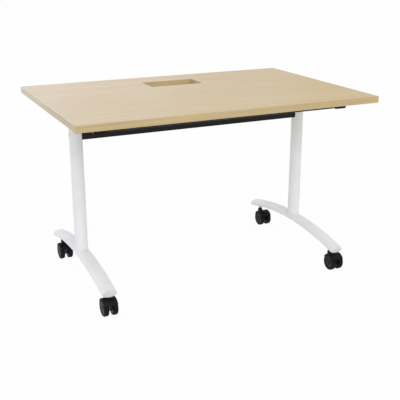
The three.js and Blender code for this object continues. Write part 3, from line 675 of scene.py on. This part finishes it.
def socket_head(radius, seat, top, shank, tip, key):
    """A socket screw along Z: head from seat to top, shank down to the tip."""
    c = SCREW_CHAMFER
    screw = turned(
        [
            (0, tip), (shank - c, tip), (shank, tip + c), (shank, seat), (radius, seat),
            (radius, top - c), (radius - c, top), (0, top),
        ],
        FINE,
    )
    floor = top - SCREW_SOCKET_SHARE * (top - seat)
    return boolean(screw, "DIFFERENCE", rod(key, floor, top + CUT_OVERRUN, 0, HEXAGON))


def beam_screw(side, outward):
    low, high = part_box(f"beam_screw_{side}")
    length = high[0] - low[0]
    radius = (high[2] - low[2]) / 2
    seat = length - SCREW_HEAD_HEIGHT
    screw = along_x(socket_head(radius, seat, length, SCREW_SHANK_RADIUS, 0, SCREW_KEY_RADIUS), outward)
    centre = middle(f"beam_screw_{side}")
    moved(screw, low[0] if outward > 0 else high[0], centre.y, centre.z)
    piece(f"socket_screw_{side}", screw, ZINC, "zinc", "frame", f"beam_screw_{side}")


# Pivots and latch
def pivot(side, outward):
    low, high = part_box(f"pivot_pin_{side}")
    length = high[0] - low[0]
    radius = (high[2] - low[2]) / 2
    centre = middle(f"pivot_pin_{side}")
    seat = length - PIN_HEAD_HEIGHT
    pin = along_x(socket_head(radius, seat, length, PIN_RADIUS, 0, PIN_KEY_RADIUS), outward)
    moved(pin, low[0] if outward > 0 else high[0], centre.y, centre.z)
    piece(f"pivot_bolt_{side}", pin, ZINC, "zinc", "top", f"pivot_pin_{side}")
    height = span(f"pivot_nut_{side}").x
    corner = max(span(f"pivot_nut_{side}").y, span(f"pivot_nut_{side}").z) / 2
    face = NUT_FACE_SHARE * corner
    barrel = turned(
        [
            (0, 0), (face, 0), (corner, NUT_CHAMFER),
            (corner, height - NUT_CHAMFER), (face, height), (0, height),
        ],
        FINE,
    )
    nut = boolean(rod(corner, 0, height, 0, HEXAGON), "INTERSECT", barrel)
    bore = rod(PIN_RADIUS + NUT_BORE_GAP, -CUT_OVERRUN, height + CUT_OVERRUN, 0, FINE)
    nut = boolean(nut, "DIFFERENCE", bore)
    moved(along_x(nut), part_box(f"pivot_nut_{side}")[0][0], centre.y, centre.z)
    piece(f"lock_nut_{side}", nut, ZINC, "zinc", "top", f"pivot_nut_{side}")
    dressed(f"pivot_head_{side}", CAST_ALUMINIUM, MOULDED_EASE)
    dressed(f"pivot_bush_{side}", ACETAL)


def latch(side):
    dressed(f"latch_guide_{side}", BLACK_PLASTIC, MOULDED_EASE)
    dressed(f"latch_bolt_{side}", ZINC, STEEL_EASE)
    dressed(f"pull_rod_{side}", ZINC)
    low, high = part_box(f"latch_spring_{side}")
    centre = middle(f"latch_spring_{side}")
    run = high[1] - low[1] - 2 * SPRING_WIRE_RADIUS
    slope = math.atan2(run / SPRING_TURNS, 2 * math.pi * SPRING_MEAN_RADIUS)
    wire = arc((0, 0), SPRING_WIRE_RADIUS, 0, 2 * math.pi, WIRE_SIDES)[:-1]
    flat, rise = math.cos(slope), math.sin(slope)
    steps = SPRING_TURNS * SMALL
    rings = []
    for i in range(steps + 1):
        turn = 2 * math.pi * i / SMALL
        out = Vector((math.cos(turn), 0, math.sin(turn)))
        across = Vector((-math.sin(turn) * flat, rise, math.cos(turn) * flat)).cross(out)
        place = centre + SPRING_MEAN_RADIUS * out
        place.y = low[1] + SPRING_WIRE_RADIUS + run * i / steps
        rings.append([place + a * out + b * across for a, b in wire])
    piece(f"coil_spring_{side}", loft(rings), SPRING_STEEL, "spring_steel", "top", f"latch_spring_{side}")


def make_release_bar():
    """The bar, and the grip sleeve on it between the arms."""
    size = span("release_bar")
    centre = middle("release_bar")
    bar = along_x(rod(size.z / 2, -size.x / 2, size.x / 2, BAR_CHAMFER, FINE))
    piece("pull_bar", moved(bar, *centre), BLACK_COAT, "black_paint", "release", "release_bar")
    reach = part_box("arm_right")[0][0] - SLEEVE_TO_ARM
    side = reach - SLEEVE_END_CHAMFER
    end = SLEEVE_RADIUS - SLEEVE_END_CHAMFER
    bore = size.z / 2 + SLEEVE_GAP
    profile = [(bore, -reach), (end, -reach), (SLEEVE_RADIUS, -side)]
    profile += [(r, -x) for r, x in reversed(profile)]
    sleeve = along_x(turned(profile, FINE, closed=True))
    piece("grip_sleeve", moved(sleeve, *centre), BLACK_PLASTIC, "black_plastic", "release")


# Arms
def arm(side):
    dressed(f"arm_{side}", BLACK_COAT, ARM_EASE)
    web_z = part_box(f"arm_{side}")[1][2] - ARM_WALL
    x = middle(f"arm_{side}").x
    screws = joined(*[moved(pan_screw(), x, y, web_z) for y in ARM_SCREW_Y])
    piece(f"arm_screws_{side}", screws, ZINC, "zinc", "top")


def pan_screw():
    """The head of a wood screw under a plate, with a cross recess, its rim at Z = 0."""
    head = turned(PAN_HEAD_PROFILE, SMALL)
    bars = []
    for x, y in ((RECESS_REACH, RECESS_HALF_WIDTH), (RECESS_HALF_WIDTH, RECESS_REACH)):
        outline = ((-x, -y), (x, -y), (x, y), (-x, y))
        bars.append(loft([[(*point, z) for point in outline] for z in (-CUT_OVERRUN, RECESS_FLOOR)]))
    return boolean(head, "DIFFERENCE", *bars)


# Castors
def castor_centre(place):
    """Swivel axis and axle of a castor."""
    return middle(f"castor_{place}_stem"), middle(f"castor_{place}_axle")


def hood_section(half, outer):
    """A channel over both wheels with rounded corners, as (x, radius) points."""
    corner = HOOD_CORNER_RADIUS
    left, right = (corner - half, outer - corner), (half - corner, outer - corner)
    section = arc(left, corner - HOOD_WALL, math.pi, math.pi / 2, HOOD_CORNER_STEPS)
    section += arc(right, corner - HOOD_WALL, math.pi / 2, 0, HOOD_CORNER_STEPS)
    section += arc(right, corner, 0, math.pi / 2, HOOD_CORNER_STEPS)
    section += arc(left, corner, math.pi / 2, math.pi, HOOD_CORNER_STEPS)
    return section


def housing(place):
    """Hood, web and neck of a castor, bored for its stem and axle."""
    swivel, axle = castor_centre(place)
    trail = axle.y - swivel.y
    half = span(f"castor_{place}_housing").x / 2 - HOOD_SIDE_INSET
    outer = WHEEL_RADIUS_CAD + HOOD_GAP + HOOD_WALL
    neck_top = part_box(f"castor_{place}_housing")[1][2]
    web_top = axle.z + outer
    stem_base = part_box(f"castor_{place}_stem")[0][2]
    section = hood_section(half, outer)
    rings = []
    for i in range(FINE + 1):
        angle = HOOD_FRONT_ANGLE + (HOOD_REAR_ANGLE - HOOD_FRONT_ANGLE) * i / FINE
        rings.append([(x, r * math.cos(angle), axle.z + r * math.sin(angle)) for x, r in section])
    hood = moved(loft(rings), 0, trail, 0)
    arch_end = math.acos((-trail - NECK_RADIUS) / outer)
    outline = arc((trail, axle.z), outer - WEB_ARCH_INSET, HOOD_REAR_ANGLE, arch_end, FINE)
    outline += [(-NECK_RADIUS, web_top), (NECK_RADIUS, web_top), (NECK_RADIUS, stem_base - NECK_FLOOR)]
    outline += arc((trail, axle.z), WEB_HUB_RADIUS, -math.pi / 4, -0.75 * math.pi, HUB_STEPS)
    web = prism(outline, -WEB_WIDTH / 2, WEB_WIDTH / 2)
    neck = rod(NECK_RADIUS, axle.z + WHEEL_RADIUS_CAD, neck_top, 0.0, FINE)
    whole = boolean(web, "UNION", hood, neck)
    stem_bore = rod(STEM_RADIUS + STEM_GAP, stem_base - STEM_GAP, neck_top + CUT_OVERRUN, 0, FINE)
    axle_bore = moved(along_x(rod(WHEEL_BORE_RADIUS, -half, half, 0, SMALL)), 0, trail, axle.z)
    whole = boolean(whole, "DIFFERENCE", stem_bore, axle_bore)
    shell = piece(
        f"twin_housing_{place}", moved(whole, swivel.x, swivel.y, 0), BLACK_PLASTIC, "black_plastic",
        f"castor_{place}", f"castor_{place}_housing",
    )
    eased(shell, HOUSING_EASE, angle=50)
    dressed(f"castor_{place}_axle", ZINC)


def stem(place):
    """A castor's stem, with the collar that meets the foot."""
    centre, _ = castor_centre(place)
    low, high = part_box(f"castor_{place}_stem")
    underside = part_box(f"castor_{place}_housing")[1][2] + STEM_EXPOSED
    collar = underside - STEM_COLLAR_HEIGHT
    seat = underside + STEM_COLLAR_SEAT
    r, c = STEM_RADIUS, STEM_COLLAR_RADIUS
    shank = turned(
        [
            (0, low[2]), (r - STEM_TIP_CHAMFER, low[2]), (r, low[2] + STEM_TIP_CHAMFER), (r, collar),
            (c - STEM_COLLAR_CHAMFER, collar), (c, collar + STEM_COLLAR_CHAMFER), (c, seat),
            (r, seat), (r, high[2]), (0, high[2]),
        ],
        FINE,
    )
    moved(shank, centre.x, centre.y, 0)
    piece(f"grip_stem_{place}", shank, ZINC, "zinc", "frame", f"castor_{place}_stem")


def wheel(place, name, direction):
    """A wheel along X: tread with rounded shoulders, grooved and dished outer face, hub cap."""
    node = f"wheel_{place}_{name}"
    size = span(node)
    radius, half = size.z / 2, size.x / 2
    shoulder, inner_shoulder = WHEEL_SHOULDER, WHEEL_INNER_SHOULDER
    rim = radius - shoulder - WHEEL_RIM_LAND
    bore = WHEEL_BORE_RADIUS
    profile = [(0, half - WHEEL_END_WALL), (bore, half - WHEEL_END_WALL), (bore, -half)]
    profile += [(radius - inner_shoulder - WHEEL_INNER_LAND, -half)]
    inner_centre = (radius - inner_shoulder, inner_shoulder - half)
    profile += arc(inner_centre, inner_shoulder, -math.pi / 2, 0, CORNER_STEPS)
    profile += arc((radius - shoulder, half - shoulder), shoulder, 0, math.pi / 2, CORNER_STEPS)
    profile += [(rim + out, half - depth) for out, depth in RIM_GROOVE]
    profile += [(rim + out, half - share * WHEEL_DISH) for out, share in RIM_DISH]
    profile += [(WHEEL_HUB_RADIUS + out, half - share * WHEEL_DISH) for out, share in HUB_DISH]
    profile += [(0, half)]
    body = turned(profile)
    for face in body.faces:
        face.material_index = int(face.calc_center_median().xy.length > rim)
    centre = middle(node)
    moved(along_x(body, direction), *centre)
    piece(f"roller_{place}_{name}", body, (BLACK_PLASTIC, TREAD), "black_plastic", node, node)


def make_castors():
    for place, along, outward in PLACES:
        foot_cap(place, along)
        stem(place)
        housing(place)
        wheel(place, "outer", outward)
        wheel(place, "inner", -outward)
        dressed(f"arm_cap_{place}", BLACK_PLASTIC, ARM_CAP_EASE)


make_top()
make_beam()
make_release_bar()
for side, outward in SIDES:
    foot(side)
    column(side, outward)
    pivot(side, outward)
    latch(side)
    arm(side)
make_castors()


# Studio
FLOOR_SIZE = 60.0
FLOOR_GREY = 0.86
FLOOR_SHADOW = 0.04
AMBIENT = 0.82
SKY = (0.60, 0.70, 1.0)
WINDOW_LEFT = 2.6
WINDOW_Y = 4.2
WINDOW_Z = 1.9
WINDOW_HEIGHT = 2.2
WINDOW_TARGET = (-0.3, 0, 0.7)
WINDOW_STEPS = ((0.8, 3.0), (1.8, 2.9), (3.0, 2.6))
CAMERA_PLACE = (-1.2251, -2.6675, 1.2636)
CAMERA_DIP = math.radians(18.641)
CAMERA_TURN = math.radians(-25.157)
CAMERA_LENS = 66.82
CAMERA_SENSOR = 36.0


def background_share(tree):
    """One where a ray comes straight from the camera or by way of metal or glass."""
    path = tree.nodes.new("ShaderNodeLightPath")
    total = path.outputs["Is Camera Ray"]
    for name in ("Is Glossy Ray", "Is Transmission Ray"):
        either = tree.nodes.new("ShaderNodeMath")
        either.operation = "MAXIMUM"
        tree.links.new(total, either.inputs[0])
        tree.links.new(path.outputs[name], either.inputs[1])
        total = either.outputs[0]
    return total


def make_floor():
    bm = bmesh.new()
    bmesh.ops.create_grid(bm, x_segments=1, y_segments=1, size=FLOOR_SIZE / 2)
    mesh = bpy.data.meshes.new("floor")
    bm.to_mesh(mesh)
    bm.free()
    floor = bpy.data.objects.new("floor", mesh)
    bpy.context.scene.collection.objects.link(floor)
    material = bpy.data.materials.new("floor")
    material.use_nodes = True
    tree = material.node_tree
    tree.nodes.clear()
    diffuse = add(material, "ShaderNodeBsdfDiffuse", {"Color": (FLOOR_GREY, FLOOR_GREY, FLOOR_GREY, 1)})
    glow = add(material, "ShaderNodeEmission", {"Color": (1, 1, 1, 1), "Strength": 1.0})
    share = add(
        material, "ShaderNodeMath", {0: background_share(tree), 1: 1.0 - FLOOR_SHADOW}, operation="MULTIPLY"
    )
    mix = add(
        material, "ShaderNodeMixShader",
        {0: share.outputs[0], 1: diffuse.outputs["BSDF"], 2: glow.outputs["Emission"]},
    )
    add(material, "ShaderNodeOutputMaterial", {"Surface": mix.outputs["Shader"]})
    mesh.materials.append(material)


def make_world():
    world = bpy.data.worlds.new("studio")
    bpy.context.scene.world = world
    world.use_nodes = True
    tree = world.node_tree
    background = tree.nodes["Background"]
    background.inputs["Color"].default_value = (1, 1, 1, 1)
    strength = tree.nodes.new("ShaderNodeMapRange")
    strength.inputs["To Min"].default_value = AMBIENT
    strength.inputs["To Max"].default_value = 1.0
    path = tree.nodes.new("ShaderNodeLightPath")
    tree.links.new(path.outputs["Is Camera Ray"], strength.inputs["Value"])
    tree.links.new(strength.outputs["Result"], background.inputs["Strength"])


def softbox(name, place, target, size, power, colour=(1, 1, 1)):
    light = bpy.data.lights.new(name, "AREA")
    light.color = colour
    light.shape = "RECTANGLE"
    light.size, light.size_y = size
    light.energy = power
    lamp = bpy.data.objects.new(name, light)
    bpy.context.scene.collection.objects.link(lamp)
    lamp.location = place
    lamp.rotation_euler = (Vector(target) - Vector(place)).to_track_quat("-Z", "Y").to_euler()
    lamp.visible_camera = False


def make_lights():
    """Fills on the user's side, and windows behind that end further right one by one."""
    softbox("side_fill", (-4.2, 0.0, 0.7), target=(0, 0, 0.45), size=(2.5, 1.2), power=3)
    softbox("low_fill", (-2.4, -4.4, 0.9), target=(0.1, 0, 0.45), size=(3.0, 1.6), power=12)
    softbox("high_fill", (-0.2, -3.2, 3.2), target=(0, 0, 0.3), size=(2.5, 2.5), power=43)
    for reach, level in WINDOW_STEPS:
        width = WINDOW_LEFT + reach
        place = (reach - width / 2, WINDOW_Y, WINDOW_Z)
        softbox("window", place, WINDOW_TARGET, (width, WINDOW_HEIGHT), level * width, SKY)


def make_camera():
    data = bpy.data.cameras.new("camera")
    data.sensor_width = CAMERA_SENSOR
    data.lens = CAMERA_LENS
    camera = bpy.data.objects.new("camera", data)
    bpy.context.scene.collection.objects.link(camera)
    camera.location = CAMERA_PLACE
    camera.rotation_euler = (math.pi / 2 - CAMERA_DIP, 0, CAMERA_TURN)
    bpy.context.scene.camera = camera


make_floor()
make_world()
make_lights()
make_camera()
bpy.context.scene.view_settings.view_transform = "Standard"
